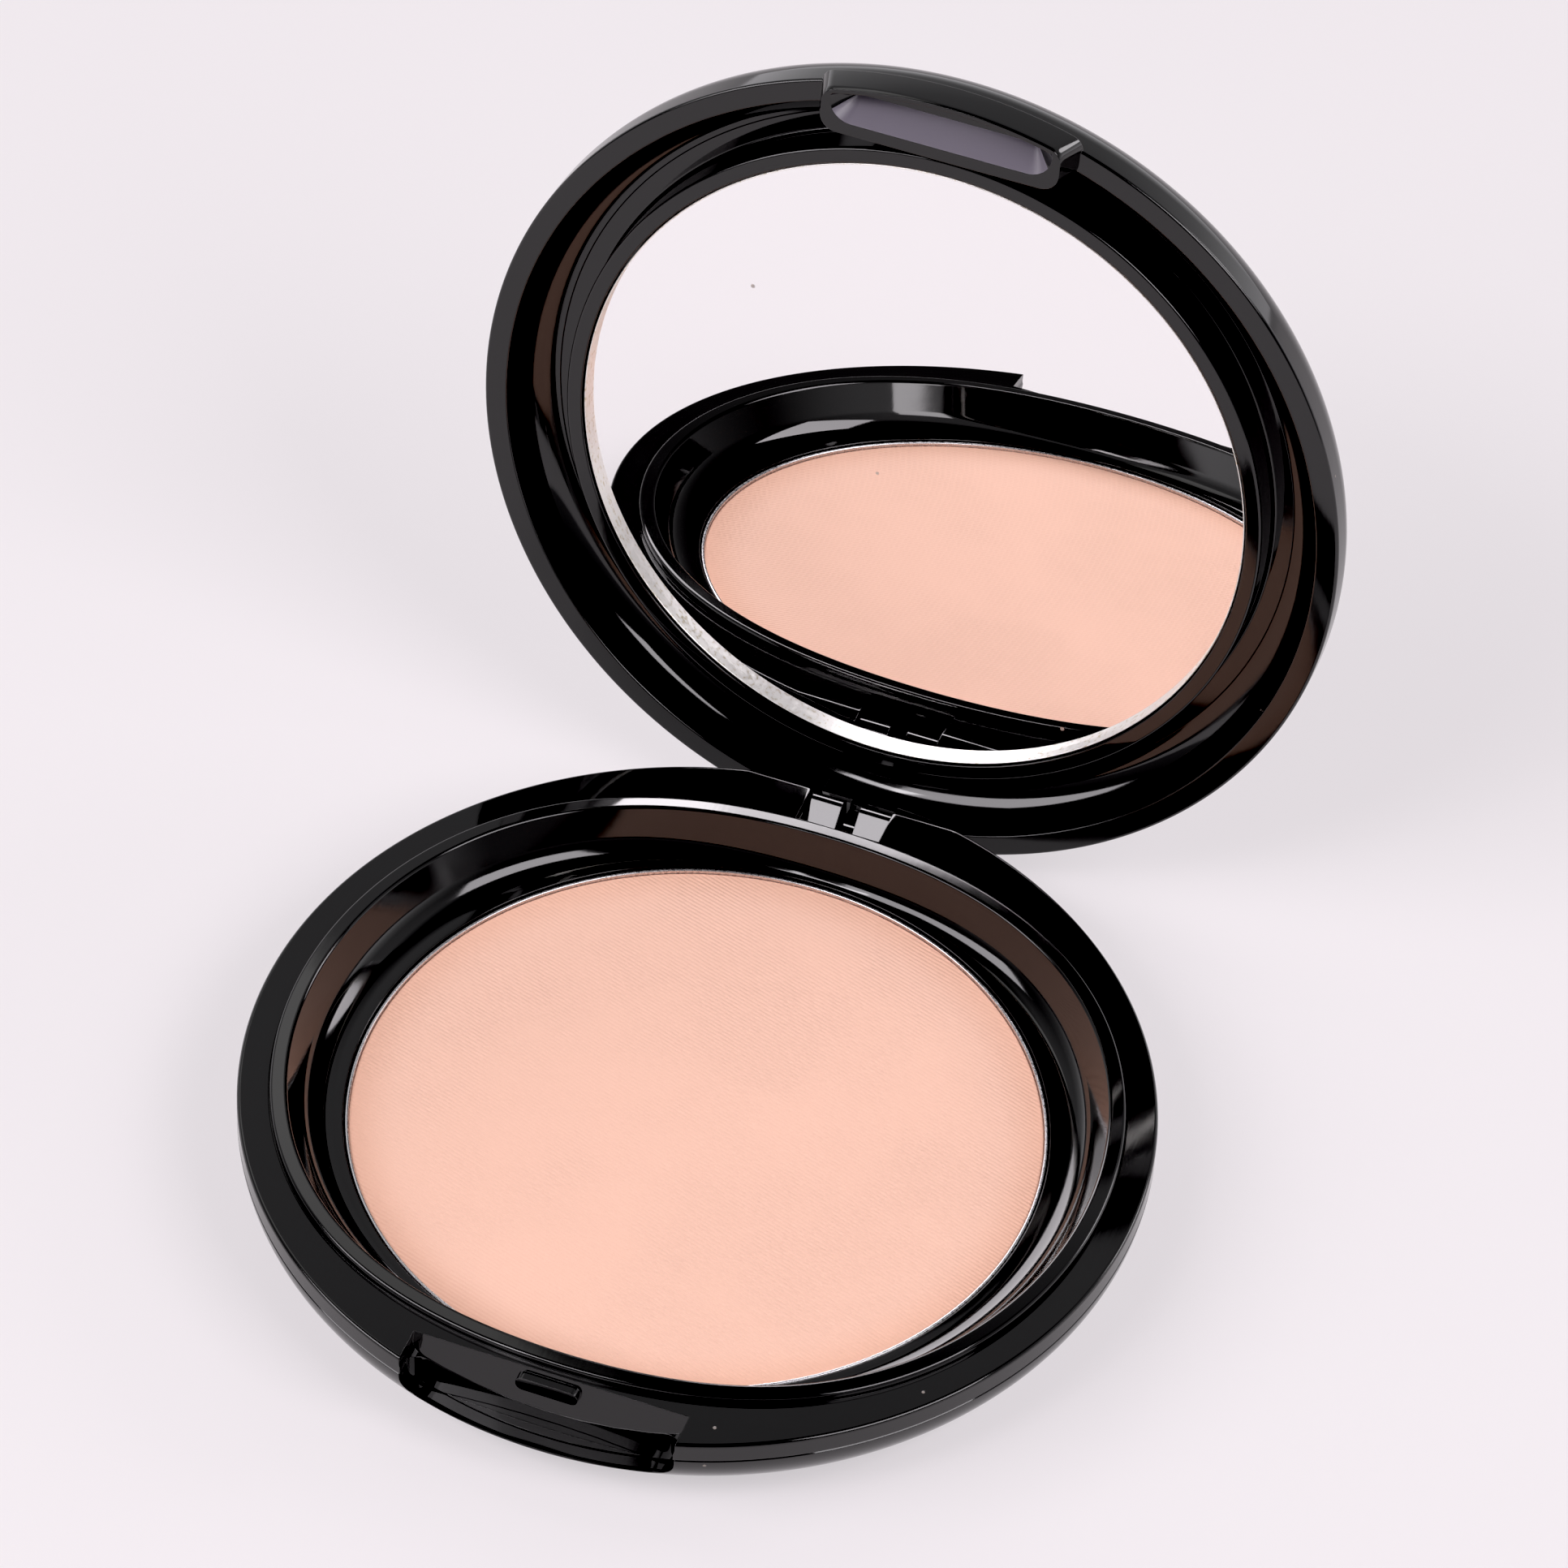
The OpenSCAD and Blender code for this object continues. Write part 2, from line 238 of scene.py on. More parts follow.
def swing_open():
    """The matrix that swings the shut lid to its open place, in millimetres."""
    pin = Vector((0, HINGE_Y, HINGE_Z))
    turn = Matrix.Rotation(math.radians(-OPEN_ANGLE), 4, "X")
    return Matrix.Translation(pin) @ turn @ Matrix.Translation(-pin)


def finish(target, body, material, node, sharp=32):
    """Puts a piece in place in metres, shades it, fastens it to its body and hides the CAD's."""
    mesh = target.data
    if body == "lid":
        mesh.transform(swing_open())
    mesh.transform(Matrix.Scale(MM, 4))
    mesh.name = target.name
    mesh.polygons.foreach_set("use_smooth", [True] * len(mesh.polygons))
    mesh.set_sharp_from_angle(angle=math.radians(sharp))
    weigh = target.modifiers.new("even shading", "WEIGHTED_NORMAL")
    weigh.keep_sharp = True
    if mesh.materials:
        mesh.materials[0] = material
    else:
        mesh.materials.append(material)
    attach(target, body)
    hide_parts(node)


# --- Materials ------------------------------------------------------------------------------------

def linear(hex_colour):
    """sRGB hex to the linear RGBA that the shader takes."""
    channels = [int(hex_colour[i:i + 2], 16) / 255 for i in (1, 3, 5)]
    return (*[c / 12.92 if c <= 0.04045 else ((c + 0.055) / 1.055) ** 2.4 for c in channels], 1)


def add(tree, kind, settings=None, **links):
    """A node with its settings. Inputs go by name or as _number, and take a value or a link,
    which is given as (node, output)."""
    node = tree.nodes.new(kind)
    for key, value in (settings or {}).items():
        setattr(node, key, value)
    for key, value in links.items():
        number = key[1:]
        socket = node.inputs[int(number) if number.isdigit() else key.replace("_", " ")]
        if isinstance(value, tuple) and isinstance(value[0], bpy.types.Node):
            tree.links.new(value[0].outputs[value[1]], socket)
        else:
            socket.default_value = value
    return node


def new_material(name, **shader):
    """A Principled material and its tree; the shader's own sockets are set here."""
    material = bpy.data.materials.new(name)
    material.use_nodes = True
    tree = material.node_tree
    body = tree.nodes["Principled BSDF"]
    for key, value in shader.items():
        body.inputs[key.replace("_", " ")].default_value = value
    return material, tree, body


def specks(tree, place, size, share, seed):
    """Scattered dust: 1 on a share of the cells of that size, 0 elsewhere."""
    cells = add(tree, "ShaderNodeTexVoronoi", {"feature": "F1", "voronoi_dimensions": "4D"},
                Vector=place, W=seed, Scale=1 / size)
    near = add(tree, "ShaderNodeMapRange", None, Value=(cells, "Distance"),
               From_Min=0.10, From_Max=0.16, To_Min=1.0, To_Max=0.0)
    pick = add(tree, "ShaderNodeSeparateColor", None, Color=(cells, "Color"))
    few = add(tree, "ShaderNodeMath", {"operation": "LESS_THAN"}, _0=(pick, "Red"), _1=share)
    return add(tree, "ShaderNodeMath", {"operation": "MULTIPLY"}, _0=(near, "Result"), _1=(few, 0))


def moulded_abs(name, colour, roughness, dust):
    """Black ABS from a polished mould: mirror-like gloss over a very slight orange peel, with the
    dust, powder grains and fine scratches that such a case picks up."""
    material, tree, body = new_material(name, IOR=1.57, Specular_IOR_Level=0.5)
    place = (add(tree, "ShaderNodeTexCoord"), "Object")
    dusty = specks(tree, place, 1.1 * MM, dust, 3.1)
    grains = specks(tree, place, 2.6 * MM, dust * 0.5, 8.7)
    tint = add(tree, "ShaderNodeMix", {"data_type": "RGBA"}, _0=(dusty, 0),
               _6=linear(colour), _7=linear("#8E8680"))
    tinted = add(tree, "ShaderNodeMix", {"data_type": "RGBA"}, _0=(grains, 0),
                 _6=(tint, 2), _7=linear("#C89C84"))
    tree.links.new(tinted.outputs[2], body.inputs["Base Color"])
    # Handling leaves areas a few millimetres across that are a little less bright
    wear = add(tree, "ShaderNodeTexNoise", None, Vector=place, Scale=1 / (9 * MM), Detail=3.0)
    rough = add(tree, "ShaderNodeMapRange", None, Value=(wear, 0), From_Min=0.35, From_Max=0.75,
                To_Min=roughness, To_Max=roughness + 0.07)
    rougher = add(tree, "ShaderNodeMath", {"operation": "MAXIMUM"}, _0=(rough, 0), _1=(dusty, 0))
    tree.links.new(rougher.outputs[0], body.inputs["Roughness"])
    # Edges 0.1 mm round, orange peel 2.5 mm across and scratches 0.1 mm wide
    edges = add(tree, "ShaderNodeBevel", {"samples": 6}, Radius=0.10 * MM)
    peel = add(tree, "ShaderNodeTexNoise", None, Vector=place, Scale=1 / (2.5 * MM), Detail=1.0)
    streak = add(tree, "ShaderNodeMapping", None, Vector=place,
                 Rotation=(0.3, 0.2, 0.7), Scale=(1.0, 0.06, 0.3))
    scratch = add(tree, "ShaderNodeTexNoise", None, Vector=(streak, 0), Scale=1 / (0.35 * MM),
                  Detail=2.0)
    fine = add(tree, "ShaderNodeBump", None, Strength=0.04, Distance=0.02 * MM, Height=(scratch, 0),
               Normal=(edges, 0))
    broad = add(tree, "ShaderNodeBump", None, Strength=0.10, Distance=0.02 * MM, Height=(peel, 0),
                Normal=(fine, 0))
    raised = add(tree, "ShaderNodeBump", None, Strength=0.5, Distance=0.03 * MM, Height=(dusty, 0),
                 Normal=(broad, 0))
    tree.links.new(raised.outputs[0], body.inputs["Normal"])
    return material


def pressed_powder():
    """Talc and pigment pressed under a cloth: fully matt, with the cloth's rib left in it."""
    material, tree, body = new_material(
        "pressed talc powder", Roughness=0.95, IOR=1.4, Specular_IOR_Level=0.15,
        Sheen_Weight=0.12, Sheen_Roughness=0.6)
    place = (add(tree, "ShaderNodeTexCoord"), "Object")
    # The cloth's threads are 0.36 mm apart one way and 0.5 mm the other
    ribs = []
    for angle, spacing in ((0.30, 0.36), (-1.15, 0.50)):
        turn = add(tree, "ShaderNodeMapping", None, Vector=place, Rotation=(0, 0, angle))
        ribs.append(add(tree, "ShaderNodeTexWave", {"wave_type": "BANDS", "bands_direction": "Y"},
                        Vector=(turn, 0), Scale=TURN / (20 * spacing * MM), Distortion=1.2,
                        Detail=2.0, Detail_Scale=0.6))
    cloth = add(tree, "ShaderNodeMath", {"operation": "MULTIPLY_ADD"}, _0=(ribs[1], 1), _1=0.45,
                _2=(ribs[0], 1))
    patch = add(tree, "ShaderNodeTexNoise", None, Vector=place, Scale=1 / (11 * MM), Detail=2.0)
    uneven = add(tree, "ShaderNodeMapRange", None, Value=(patch, 0), From_Min=0.35, From_Max=0.65,
                 To_Min=0.35, To_Max=1.0)
    weave = add(tree, "ShaderNodeMath", {"operation": "MULTIPLY"}, _0=(cloth, 0), _1=(uneven, 0))
    grain = add(tree, "ShaderNodeTexNoise", None, Vector=place, Scale=1 / (0.12 * MM), Detail=2.0)
    # Painted shade: the powder turns a shade darker towards its edge, beside the pan's lip and the
    # well's wall
    parts = add(tree, "ShaderNodeSeparateXYZ", None, Vector=place)
    flat = add(tree, "ShaderNodeCombineXYZ", None, X=(parts, 0), Y=(parts, 1))
    reach = add(tree, "ShaderNodeVectorMath", {"operation": "LENGTH"}, _0=(flat, 0))
    rim = add(tree, "ShaderNodeMapRange", {"interpolation_type": "SMOOTHSTEP"}, Value=(reach, 1),
              From_Min=25 * MM, From_Max=29.4 * MM)
    deep = add(tree, "ShaderNodeMix", {"data_type": "RGBA"}, _0=(rim, 0),
               _6=linear("#FCCEB8"), _7=linear("#F8C5AC"))
    mottle = add(tree, "ShaderNodeMapRange", None, Value=(grain, 0), From_Min=0.3, From_Max=0.7,
                 To_Min=0.0, To_Max=0.10)
    flecked = add(tree, "ShaderNodeMix", {"data_type": "RGBA"}, _0=(mottle, 0),
                  _6=(deep, 2), _7=linear("#DDA083"))
    tree.links.new(flecked.outputs[2], body.inputs["Base Color"])
    ribbed = add(tree, "ShaderNodeBump", None, Strength=0.7, Distance=0.07 * MM, Height=(weave, 0))
    grainy = add(tree, "ShaderNodeBump", None, Strength=0.35, Distance=0.03 * MM, Height=(grain, 0),
                 Normal=(ribbed, 0))
    tree.links.new(grainy.outputs[0], body.inputs["Normal"])
    return material


def drawn_metal(name, colour, roughness, grain):
    """Bright metal sheet or wire with fine drawing lines and a slight haze."""
    material, tree, body = new_material(name, Metallic=1.0)
    place = (add(tree, "ShaderNodeTexCoord"), "Object")
    body.inputs["Base Color"].default_value = linear(colour)
    haze = add(tree, "ShaderNodeTexNoise", None, Vector=place, Scale=1 / (grain * MM), Detail=3.0)
    rough = add(tree, "ShaderNodeMapRange", None, Value=(haze, 0), From_Min=0.3, From_Max=0.7,
                To_Min=roughness, To_Max=roughness + 0.12)
    tree.links.new(rough.outputs[0], body.inputs["Roughness"])
    bump = add(tree, "ShaderNodeBump", None, Strength=0.15, Distance=0.01 * MM, Height=(haze, 0))
    tree.links.new(bump.outputs[0], body.inputs["Normal"])
    return material


def silvered_glass():
    """Silver behind float glass: a clear reflection with a few dust specks."""
    material, tree, body = new_material("silvered float glass", Metallic=1.0)
    place = (add(tree, "ShaderNodeTexCoord"), "Object")
    dusty = specks(tree, place, 1.6 * MM, 0.05, 5.3)
    tint = add(tree, "ShaderNodeMix", {"data_type": "RGBA"}, _0=(dusty, 0),
               _6=linear("#FDFCFC"), _7=linear("#C9C4C0"))
    tree.links.new(tint.outputs[2], body.inputs["Base Color"])
    rough = add(tree, "ShaderNodeMath", {"operation": "MULTIPLY"}, _0=(dusty, 0), _1=0.5)
    tree.links.new(rough.outputs[0], body.inputs["Roughness"])
    return material


def ground_glass():
    """Ground edge of the mirror, seen through the glass: pale, bright, with small chips."""
    material, tree, body = new_material("ground glass edge", Metallic=0.7, IOR=1.52)
    place = (add(tree, "ShaderNodeTexCoord"), "Object")
    chips = add(tree, "ShaderNodeTexNoise", None, Vector=place, Scale=1 / (0.4 * MM), Detail=3.0)
    tint = add(tree, "ShaderNodeValToRGB", None, Fac=(chips, 0))
    tint.color_ramp.elements[0].position, tint.color_ramp.elements[1].position = 0.25, 0.45
    tint.color_ramp.elements[0].color = linear("#D9CFB4")
    tint.color_ramp.elements[1].color = linear("#FFFEFA")
    tree.links.new(tint.outputs[0], body.inputs["Base Color"])
    rough = add(tree, "ShaderNodeMapRange", None, Value=(chips, 0), From_Min=0.3, From_Max=0.7,
                To_Min=0.30, To_Max=0.45)
    tree.links.new(rough.outputs[0], body.inputs["Roughness"])
    bump = add(tree, "ShaderNodeBump", None, Strength=0.10, Distance=0.03 * MM, Height=(chips, 0))
    tree.links.new(bump.outputs[0], body.inputs["Normal"])
    return material


def soft_sheet(name, colour, fibre):
    """Paper label or foam pad: matt, with short fibres."""
    material, tree, body = new_material(name, Roughness=0.8, Specular_IOR_Level=0.3)
    place = (add(tree, "ShaderNodeTexCoord"), "Object")
    fibres = add(tree, "ShaderNodeTexNoise", None, Vector=place, Scale=1 / (fibre * MM), Detail=5.0)
    shade = add(tree, "ShaderNodeMapRange", None, Value=(fibres, 0), To_Min=0.0, To_Max=0.12)
    tint = add(tree, "ShaderNodeMix", {"data_type": "RGBA"}, _0=(shade, 0),
               _6=linear(colour), _7=linear("#8C857C"))
    tree.links.new(tint.outputs[2], body.inputs["Base Color"])
    bump = add(tree, "ShaderNodeBump", None, Strength=0.2, Distance=0.03 * MM, Height=(fibres, 0))
    tree.links.new(bump.outputs[0], body.inputs["Normal"])
    return material


case_black = moulded_abs("polished black abs", "#060606", 0.04, 0.020)
# Painted highlight: the scoop is black plastic, and its lavender grey colour stands in for the
# lamps' reflection on it
scoop_painted_highlight = moulded_abs("satin black abs painted highlight", "#6A6570", 0.30, 0.010)
powder = pressed_powder()
aluminium = drawn_metal("drawn aluminium", "#D9D8DA", 0.22, 0.4)
steel = drawn_metal("drawn steel", "#B7B8BC", 0.18, 0.2)
silver = silvered_glass()
glass_edge = ground_glass()
paper = soft_sheet("uncoated label paper", "#E6E3DD", 0.25)
foam = soft_sheet("adhesive foam", "#D8D2C4", 0.4)


# --- Base -----------------------------------------------------------------------------------------

def flatten_oval(bm):
    """Pulls the rib, the lip and the ring of the well in towards the front and the back."""
    still, ring_share = PAN_R + 0.3, 0.42
    for v in bm.verts:
        r = math.hypot(v.co.x, v.co.y)
        if r < still or r >= BASE_R - 1.3:
            continue
        if r > RIB_R:
            share = (BASE_R - 1.3 - r) / (BASE_R - 1.3 - RIB_R)
        elif r > RING_R:
            share = ring_share + (1 - ring_share) * min(1, (r - RING_R) / (LIP_R - RING_R))
        else:
            share = ring_share * (r - still) / (RING_R - still)
        pull = share * RIB_FLAT * (abs(v.co.y) / r) ** 5
        v.co.x *= (r - pull) / r
        v.co.y *= (r - pull) / r


def notch_outline(floor, curve, corner):
    """Front view of the notch: floor height at the middle, its upward curve and corner radius."""
    rise = NOTCH_HALF ** 2 * curve
    middle = [(x, floor + x * x * curve) for x in range(-9, 10, 3)]
    return rounded([(-NOTCH_HALF, ABOVE), (-NOTCH_HALF, floor + rise, corner), *middle,
                    (NOTCH_HALF, floor + rise, corner), (NOTCH_HALF, ABOVE)], steps=8)


def notch_cutters():
    """What the notch takes out of the deck: down to a wall that leans back, then to the floor."""
    lean, low, rise = 0.36, 5.8, 0.012  # tangent of the wall's angle; its lower edge and curve
    wall = loft([notch_outline(low, rise, 1.2)] * 2, [0, OUTSIDE])
    for v in wall.verts:
        if v.co.z == 0:
            v.co.z = lean * (RIM_Z - v.co.y) - NOTCH_Y
    quarter_turn(wall, "X")
    edge = [(x, NOTCH_Y - lean * (RIM_Z - low - rise * x * x) - 0.05) for x in range(-12, 13, 3)]
    side = NOTCH_HALF - 0.1
    drop = rounded([(-side, -OUTSIDE), (-side, edge[0][1], 1.6), *edge[1:-1],
                    (side, edge[0][1], 1.6), (side, -OUTSIDE)])
    return wall, slab(drop, NOTCH_FLOOR, ABOVE)


def swing_relief():
    """What the swinging lid's rim needs cut off the back of the base."""
    block = piece("tool", box(-BASE_R, BASE_R, HINGE_Y, OUTSIDE, HINGE_Z, ABOVE))
    back_r = 4.32  # the back of the base is this round about the pin
    return carve(block, "DIFFERENCE", bar_x(back_r, BASE_R + 1, steps=160))


def base_bowl():
    outer = quarter(BASE_R, SEAM_Z, BASE_R - FOOT_R, -SEAM_Z, 28)
    inner = quarter(BASE_R - WALL, SEAM_Z, BASE_R - WALL - FOOT_R, FLOOR_Z - SEAM_Z, 16)
    recess = LABEL_R + 0.15
    rim = [(BASE_R - WALL, SEAM_Z), (BASE_R - 0.12, SEAM_Z), (BASE_R, SEAM_Z - 0.12)]
    profile = [(0, 0.2), (recess, 0.2), (recess, 0), (FOOT_R - 1, 0), *reversed(outer[1:]),
               *reversed(rim), *inner[1:], (0, FLOOR_Z)]
    bowl = piece("lower_case_moulding", turned(profile, closed=False))
    lip = turned([(34, NOTCH_FLOOR - 0.1), (36.5, NOTCH_FLOOR - 0.1), (37.5, NOTCH_LIP + 0.05),
                  (37.5, 8), (34, 8)])
    lip = carve(piece("tool", lip), "INTERSECT",
                slab(notch_outline(NOTCH_FLOOR - 0.3, 0.002, NOTCH_CORNER),
                     -OUTSIDE, NOTCH_Y, "XZ"))
    carve(bowl, "DIFFERENCE", lip,
          slab(notch_outline(NOTCH_LIP, 0.0, NOTCH_CORNER), -OUTSIDE, NOTCH_Y, "XZ"),
          box(-GAP_HALF, GAP_HALF, 33, OUTSIDE, GAP_FLOOR, ABOVE), swing_relief())
    finish(bowl, "base", case_black, "base_bowl")


def base_deck():
    seat, rib_z = PAN_R + 0.15, RIM_Z + 0.8
    profile = rounded([
        (BASE_R - WALL, SEAM_Z), (BASE_R, SEAM_Z, 0.12), (BASE_R, RIM_Z, 0.3),
        (RIB_R + 0.1, RIM_Z), (RIB_R + 0.07, RIM_Z - 0.12), (RIB_R, RIM_Z - 0.12),
        (RIB_R, rib_z - 0.1, 0.3), (LIP_R, rib_z, 0.35), (RING_R + 0.9, RING_Z, 2.8),
        (RING_R - 1.0, RING_Z), (seat, RING_Z, 0.08), (seat, PAN_Z - PAN_GLUE),
        (0, PAN_Z - PAN_GLUE)], closed=False, steps=12)
    profile += [Vector(p) for p in (
        (0, FLOOR_Z), (26.5, FLOOR_Z), (30.65, 1.5), (30.65, 4.6), (32, 4.6),
        (RIB_R, RIM_Z - WALL), (BASE_R - WALL, RIM_Z - WALL))]
    ring = turned(profile)
    flatten_oval(ring)
    deck = piece("upper_case_moulding", ring)

    fit = quarter(BASE_R - WALL - 0.1, SEAM_Z, BASE_R - WALL - FOOT_R, FLOOR_Z - SEAM_Z, 16)
    inside = turned([(0, FLOOR_Z), (0, RIM_Z - 0.3), (BASE_R - WALL - 0.1, RIM_Z - 0.3), *fit])
    block = carve(piece("tool", box(-13, 13, -38, NOTCH_Y + 1.05, 3.5, RIM_Z - 0.3)),
                  "INTERSECT", inside)
    carve(deck, "UNION", block)
    gap = box(-GAP_HALF, GAP_HALF, GAP_WALL_Y, OUTSIDE, GAP_FLOOR, ABOVE)
    carve(deck, "DIFFERENCE", *notch_cutters(), gap, swing_relief())

    nub = rounded([(-2.7, 7.25, 0.6), (2.7, 7.25, 0.6), (2.7, 8.65, 0.6), (-2.7, 8.65, 0.6)])
    parts = [slab(nub, NOTCH_Y - 1.0, NOTCH_Y + 0.3, "XZ")]
    web = rounded([(32.9, 3.8), (34.3, 3.8), (34.6, 2.7, 0.3), (HINGE_Y + KNUCKLE_R, 2.7, 1.9),
                   (HINGE_Y + KNUCKLE_R, 8.3, 1.1), (36.9, 8.45, 0.5), (32.9, 5.3)], steps=12)
    parts += [slab(web, side * SLOT_HALF, side * KNUCKLE_END, "YZ") for side in (-1, 1)]
    carve(deck, "UNION", *parts)
    carve(deck, "DIFFERENCE", bar_x(PIN_R, KNUCKLE_END - 0.4))
    finish(deck, "base", case_black, "base_deck")


def pan_and_powder():
    top, sheet = PAN_TOP, 0.3
    pan = turned(rounded([
        (0, PAN_Z), (PAN_R, PAN_Z, 0.7), (PAN_R, top, 0.12), (PAN_R - sheet, top, 0.12),
        (PAN_R - sheet, PAN_Z + sheet, 0.4), (0, PAN_Z + sheet)], closed=False), closed=False)
    finish(piece("powder_pan_sheet", pan), "base", aluminium, "powder_pan")

    r = PAN_R - 0.32
    crown = [(r * k / 24, top - 0.15 - 0.20 * (k / 24) ** 6) for k in range(24)]
    cake = turned([(0, PAN_Z + 0.31), (r - 0.5, PAN_Z + 0.31), (r, PAN_Z + 0.8),
                   (r, top - 0.42), (r - 0.12, top - 0.33), *reversed(crown)], closed=False)
    finish(piece("powder_cake", cake), "base", powder, "pressed_powder", sharp=60)


def small_base_pieces():
    pin = bmesh.new()
    bmesh.ops.create_cone(pin, cap_ends=True, segments=40, radius1=PIN_R, radius2=PIN_R, depth=6.4)
    rims = [e for e in pin.edges if abs(e.verts[0].co.z - e.verts[1].co.z) < 1e-6]
    bmesh.ops.bevel(pin, geom=rims, offset=0.12, segments=2, affect="EDGES",
                    profile=0.5, material=-1)
    quarter_turn(pin, "Y")
    bmesh.ops.translate(pin, verts=pin.verts, vec=(0, HINGE_Y, HINGE_Z))
    finish(piece("steel_pin", pin), "base", steel, "hinge_pin")

    label = turned(rounded([(0, 0), (LABEL_R, 0, 0.06), (LABEL_R, 0.2), (0, 0.2)], closed=False),
                   closed=False)
    finish(piece("paper_label", label), "base", paper, "underside_label")


# --- Lid ------------------------------------------------------------------------------------------

def tab_outline(r, y, half, corner):
    """Round segment: an arc of radius r to the front, cut off by a chord at y, ends at +-half."""
    arc = []
    for k in range(25):
        x = -half + 2 * half * k / 24
        arc.append((x, -math.sqrt(r * r - x * x)))
    ends = [(*arc[0], corner[0]), *arc[2:-2], (*arc[-1], corner[0])]
    return rounded([(-half, y, corner[1]), *ends, (half, y, corner[1])], steps=6)


def lid_moulding():
    outer = quarter(LID_R, LID_ROUND_Z, LID_R - CROWN_R, CROWN_Z - LID_ROUND_Z, 28)
    dome = [(CROWN_R * k / 12, CROWN_Z + CROWN_RISE * (1 - (k / 12) ** 2))
            for k in range(11, -1, -1)]
    wall = quarter(WELL_R, WELL_ROUND_Z, WELL_R - CHANNEL_R, CHANNEL_Z - WELL_ROUND_Z, 16)
    rim = rounded([(WELL_R, WELL_ROUND_Z), (WELL_R, LID_Z, 0.12), (LID_R, LID_Z, 0.25),
                   (LID_R, LID_ROUND_Z)], closed=False, steps=4)
    profile = [*rim, *outer[1:], *dome, (0, CROWN_Z - WALL), (CROWN_R, CROWN_Z - WALL),
               (CHANNEL_R, CHANNEL_Z + 1.3), *reversed(wall[1:])]
    shell = piece("lid_moulding", turned(profile))

    # Clasp tab: wider at the rim than at its end
    levels = (10.2, 9.7, TAB_Z + 0.4, TAB_Z)
    halves = (TAB_HALF, TAB_HALF, TAB_HALF - 0.8, TAB_HALF - 1.0)
    reach = (LID_R - 0.1, TAB_R, TAB_R, TAB_R - 0.2)
    rings = [tab_outline(r, TAB_Y, half, (1.3, 1.5)) for r, half in zip(reach, halves)]
    tab = piece("tool", loft(rings, levels))
    carve(tab, "DIFFERENCE", turned([(0, 9.5), (WELL_R, 9.5), (WELL_R, 12), (0, 12)]))
    carve(shell, "UNION", tab)
    # Recess behind the tab that takes the catch nub
    carve(shell, "DIFFERENCE", box(-3.1, 3.1, TAB_Y - 0.35, TAB_Y + 1, 7.1, 9.5))

    boss = piece("tool", box(-BOSS_HALF, BOSS_HALF, GAP_WALL_Y + 0.3, BASE_R - 0.5, 7.4, 10.2))
    for side in (-1, 1):  # room for the knuckles as the boss swings over them
        room = piece("tool", bar_x(3.9, 1.55))
        room.data.transform(Matrix.Translation((side * 2.27, 0, 0)))
        carve(boss, "DIFFERENCE", room)
    carve(shell, "UNION", boss, bar_x(KNUCKLE_R - 0.2, TONGUE_HALF),
          box(-TONGUE_HALF, TONGUE_HALF, HINGE_Y - 1.8, HINGE_Y + 1.8, HINGE_Z, 7.5))
    carve(shell, "DIFFERENCE", bar_x(PIN_R + 0.05, 2.0))

    # Finger scoop in the tab's end, with its own satin finish and a painted highlight: its slope is
    # coloured pale lavender grey, not black
    mouth = tab_outline(TAB_R - 0.55, TAB_Y - 1.1, 9.7, (0.35, 2.0))
    floor = tab_outline(TAB_R - 0.85, TAB_Y - 2.9, 7.8, (0.15, 0.3))
    scoop = piece("tool", loft([mouth, floor], [TAB_Z - 0.01, TAB_Z + 2.0]))
    for finish_of in (case_black, scoop_painted_highlight):
        scoop.data.materials.append(finish_of)
        shell.data.materials.append(finish_of)
    # Painted highlight: the satin, lavender grey finish goes only on the chord-side slope that
    # faces the lamps
    for face in scoop.data.polygons:  # only the slope on the chord's side is satin
        face.material_index = int(face.normal.y > 0.3)
    carve(shell, "DIFFERENCE", scoop)
    finish(shell, "lid", case_black, "lid_shell")


def mirror_pieces():
    back = MIRROR_Z + 1.5
    channel_r = CHANNEL_R - 0.05
    ring = turned(rounded([
        (0, back + 1), (0, back), (MIRROR_R + 0.15, back), (MIRROR_R + 0.15, LEDGE_Z, 0.1),
        (LEDGE_R, LEDGE_Z, 0.25), (LEDGE_R, CHANNEL_Z, 0.3), (channel_r, CHANNEL_Z),
        (channel_r, CHANNEL_Z + 1), (LEDGE_R - 1, CHANNEL_Z + 1), (LEDGE_R - 1, back + 1)],
        steps=5), closed=False)
    finish(piece("mirror_bezel", ring), "lid", case_black, "mirror_frame")

    # The silver lies behind the glass, deeper than the glass's front
    silver_z = MIRROR_Z + SILVER_DEPTH
    plate = turned([(0, MIRROR_Z + 1.2), (MIRROR_R, MIRROR_Z + 1.2), (MIRROR_R, silver_z),
                    (0, silver_z)], closed=False)
    finish(piece("mirror_silver", plate), "lid", silver, "mirror_glass")
    edge = turned(rounded([(MIRROR_R, silver_z), (MIRROR_R, MIRROR_Z, 0.08),
                           (MIRROR_R - 0.12, MIRROR_Z, 0.05), (MIRROR_R - 0.12, silver_z)]))
    finish(piece("mirror_ground_edge", edge), "lid", glass_edge, "mirror_glass")


base_bowl()
base_deck()
pan_and_powder()
small_base_pieces()
lid_moulding()
mirror_pieces()
for name in ("pan_adhesive", "mirror_adhesive"):
    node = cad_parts[name]
    node.data.materials.clear()
    node.data.materials.append(foam)


# --- Studio ---------------------------------------------------------------------------------------

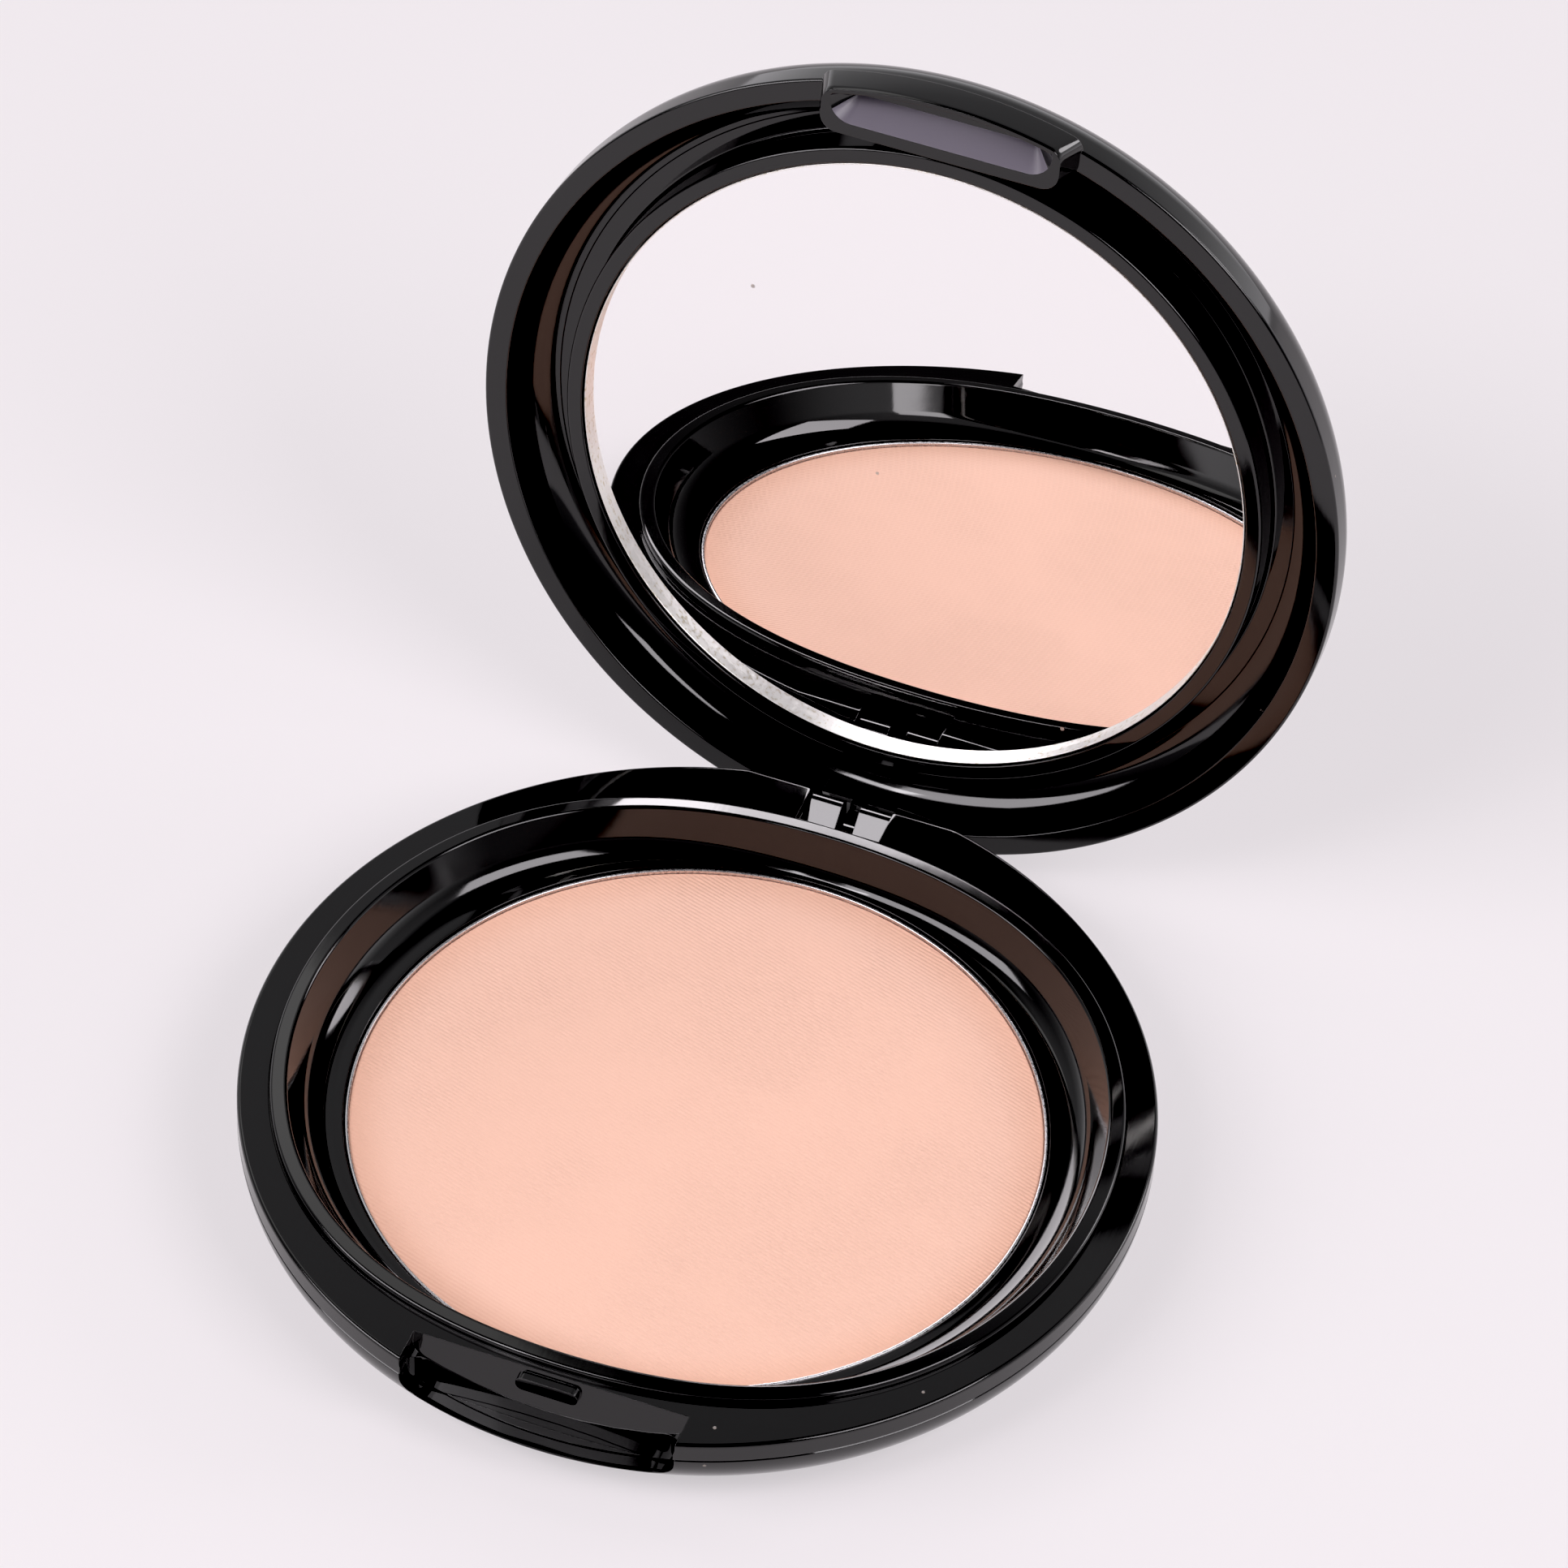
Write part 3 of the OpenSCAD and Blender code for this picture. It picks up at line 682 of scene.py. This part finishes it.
def studio():
    """Pale table, soft overhead light and the camera."""
    bm = bmesh.new()
    bmesh.ops.create_grid(bm, x_segments=8, y_segments=8, size=2.5)
    floor = piece("table", bm)
    # Opal acrylic light table: half of its brightness comes from below and softens the shadows
    material, tree, body = new_material(
        "opal acrylic sheet", Roughness=0.7, Specular_IOR_Level=0.2,
        Emission_Color=linear("#FDF8FC"), Emission_Strength=0.54)
    place = (add(tree, "ShaderNodeTexCoord"), "Object")
    cloud = add(tree, "ShaderNodeTexNoise", None, Vector=place, Scale=6.0, Detail=1.0)
    tint = add(tree, "ShaderNodeMix", {"data_type": "RGBA"}, _0=(cloud, 0),
               _6=linear("#A29E9F"), _7=linear("#9F9B9C"))
    tree.links.new(tint.outputs[2], body.inputs["Base Color"])
    floor.data.materials.append(material)

    # White sweep behind the table up to about 50 degrees, dark room in front and above
    world = bpy.data.worlds.new("studio")
    bpy.context.scene.world = world
    world.use_nodes = True
    sky = world.node_tree
    way = add(sky, "ShaderNodeSeparateXYZ", None,
              Vector=(add(sky, "ShaderNodeTexCoord"), "Generated"))
    behind = add(sky, "ShaderNodeMapRange", {"interpolation_type": "SMOOTHSTEP"},
                 Value=(way, "Y"), From_Min=-0.35, From_Max=0.45, To_Min=0.12, To_Max=1.0)
    height = add(sky, "ShaderNodeValToRGB", None, Fac=(way, "Z"))
    height.color_ramp.elements[0].color = (1.7, 1.64, 1.72, 1)
    height.color_ramp.elements[1].color = (0.05, 0.05, 0.05, 1)
    for spot, level in ((0.12, 1.3), (0.25, 0.8), (0.46, 0.42), (0.74, 0.44), (0.84, 0.06)):
        height.color_ramp.elements.new(spot).color = (level, level * 0.98, level * 1.01, 1)
    sky.links.new(height.outputs[0], sky.nodes["Background"].inputs["Color"])
    sky.links.new(behind.outputs[0], sky.nodes["Background"].inputs["Strength"])

    lamps = (  # name, direction, distance, size, roll in degrees, power, colour
        ("left softbox", (-0.60, -0.50, 0.625), 1.1, (0.84, 0.50), 30, 7.3, "#FFFAFF"),
        ("right softbox", (0.62, -0.20, 0.66), 1.1, (0.62, 0.52), -18, 6.2, "#FFFAFF"),
        ("small front light", (-0.22, -0.56, 0.80), 1.1, (0.26, 0.20), 0, 1.6, "#FFFAFF"),
        ("right back softbox", (0.66, 0.62, 0.42), 1.3, (0.40, 0.32), 0, 2.3, "#FFFBFF"),
        ("high left light", (-0.55, 0.55, 0.95), 1.4, (0.5, 0.5), 0, 0.7, "#FFFDFC"),
    )
    for name, way_to, distance, size, spin, power, colour in lamps:
        light = bpy.data.lights.new(name, "AREA")
        light.shape, light.size, light.size_y = "RECTANGLE", *size
        light.energy, light.color = power, linear(colour)[:3]
        lamp = bpy.data.objects.new(name, light)
        bpy.context.scene.collection.objects.link(lamp)
        way_to = Vector(way_to).normalized()
        roll = Matrix.Rotation(math.radians(spin), 3, "Z")
        aim = way_to.to_track_quat("Z", "Y").to_matrix() @ roll
        lamp.location = way_to * distance
        lamp.rotation_euler = aim.to_euler()

    # Long lens, level apart from a small roll; the place it looks at is in millimetres
    turn, lift, roll = math.radians(18.253), math.radians(45.471), math.radians(3.293)
    aim, distance = Vector((-6.146, 36.727, 9.1)), 771.8
    back = Vector((math.sin(turn) * math.cos(lift), -math.cos(turn) * math.cos(lift),
                   math.sin(lift)))
    level = (-back).cross(Vector((0, 0, 1))).normalized()
    upright = back.cross(level)
    right = math.cos(roll) * level + math.sin(roll) * upright
    up = -math.sin(roll) * level + math.cos(roll) * upright
    lens = bpy.data.cameras.new("camera")
    lens.sensor_width, lens.lens = 36, 204.97
    camera = bpy.data.objects.new("camera", lens)
    bpy.context.scene.collection.objects.link(camera)
    rotation = Matrix((right, up, back)).transposed().to_4x4()
    camera.matrix_world = Matrix.Translation((aim + back * distance) * MM) @ rotation
    bpy.context.scene.camera = camera
    # Standard view with the black point raised a little, so that the case stays deep black
    view = bpy.context.scene.view_settings
    view.view_transform, view.use_curve_mapping = "Standard", True
    view.curve_mapping.black_level = (0.008, 0.008, 0.008)
    view.curve_mapping.update()


studio()
